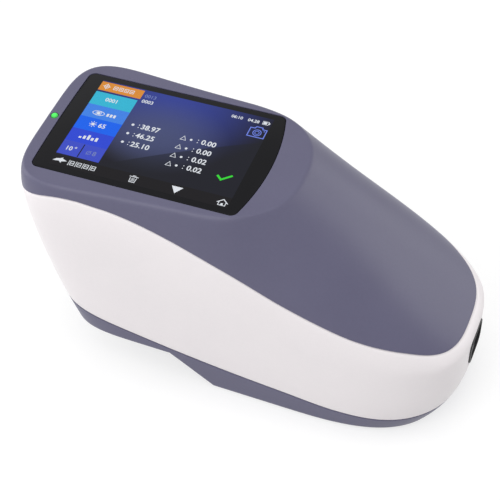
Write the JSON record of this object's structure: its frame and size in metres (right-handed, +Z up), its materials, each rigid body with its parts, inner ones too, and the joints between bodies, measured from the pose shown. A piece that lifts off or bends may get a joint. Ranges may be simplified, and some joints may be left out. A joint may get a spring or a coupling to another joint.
{
  "type": "grating spectrophotometer",
  "caption": "Hand-held colour measuring instrument: boat-shaped moulded housing, touch screen on the tall end, measuring nose beneath with an integrating sphere and a grating bench inside.",
  "frame": {"origin": "middle of the bounding box in plan, at the height of the table", "axes": "+X from the tall screen end towards the low nose, +Z up, +Y towards the side with the measuring key"},
  "size_m": [0.1843, 0.0778, 0.1033],
  "materials": {
    "dark_shell": "satin moulded ABS, bluish grey",
    "white_shell": "satin moulded ABS, near white",
    "black_glass": "polished toughened cover glass, black behind",
    "black_plastic": "matt black, lightly grained",
    "green_lens": "clear green light pipe",
    "circuit_board": "green solder mask with components",
    "aluminium": "machined or pressed, clear finish",
    "steel": "plated steel",
    "sphere_white": "diffuse white reflecting coating",
    "rubber": "soft black rubber",
    "battery_wrap": "blue shrink sleeve",
    "optical_glass": "polished lens glass",
    "grating_gold": "ruled reflecting coating on a concave blank",
    "flat_cable": "amber flexible circuit"
  },
  "bodies": {
    "housing": {"base_cover": "dark_shell", "base_screw_1": "steel", "base_screw_2": "steel", "base_screw_3": "steel", "base_screw_4": "steel", "battery_contacts": "black_plastic", "battery_pack": "battery_wrap", "bench_cover": "aluminium", "bracket_screw_1": "steel", "bracket_screw_2": "steel", "bracket_screw_3": "steel", "bracket_screw_4": "steel", "button_board": "circuit_board", "buzzer": "black_plastic", "camera_module": "black_plastic", "chassis": "aluminium", "collecting_lens": "optical_glass", "detector": "black_plastic", "detector_board": "circuit_board", "display_cable": "flat_cable", "fold_mirror": "aluminium", "grating": "grating_gold", "grating_mount": "black_plastic", "indicator_light": "green_lens", "interface_board": "circuit_board", "interface_cable": "flat_cable", "lamp_board": "circuit_board", "lcd_bracket": "aluminium", "lcd_module": "black_plastic", "lens_barrel": "black_plastic", "main_board": "circuit_board", "measuring_nose": "black_plastic", "middle_shell": "white_shell", "optical_bench": "black_plastic", "port_panel": "black_plastic", "radio_module": "steel", "rubber_foot_1": "rubber", "rubber_foot_2": "rubber", "rubber_foot_3": "rubber", "rubber_foot_4": "rubber", "screen_glass": "black_glass", "slit_plate": "steel", "sphere_lower": "sphere_white", "sphere_upper": "sphere_white", "switch_body": "black_plastic", "top_cover": "dark_shell", "usb_socket": "steel"},
    "key": {"measure_button": "dark_shell"},
    "switch": {"power_switch": "black_plastic"},
    "door": {"battery_door": "dark_shell"},
    "aperture": {"aperture_ring": "black_plastic"}
  },
  "joints": [
    {"name": "measure_key_press", "type": "slide", "parent": "housing", "child": "key", "axis": [0, -1, 0], "range_m": [0, 0.0006], "stiffness_N_per_m": 1200, "springref_m": -0.0004},
    {"name": "power_switch_slide", "type": "slide", "parent": "housing", "child": "switch", "axis": [0, 1, 0], "range_m": [0, 0.0034]},
    {"name": "battery_door_slide", "type": "slide", "parent": "housing", "child": "door", "axis": [-1, 0, 0], "range_m": [0, 0.006]},
    {"name": "aperture_bayonet", "type": "hinge", "parent": "housing", "child": "aperture", "pos_m": [-0.051, 0, 0.0014], "axis": [0, 0, 1], "range_deg": [0, 40]}
  ]
}
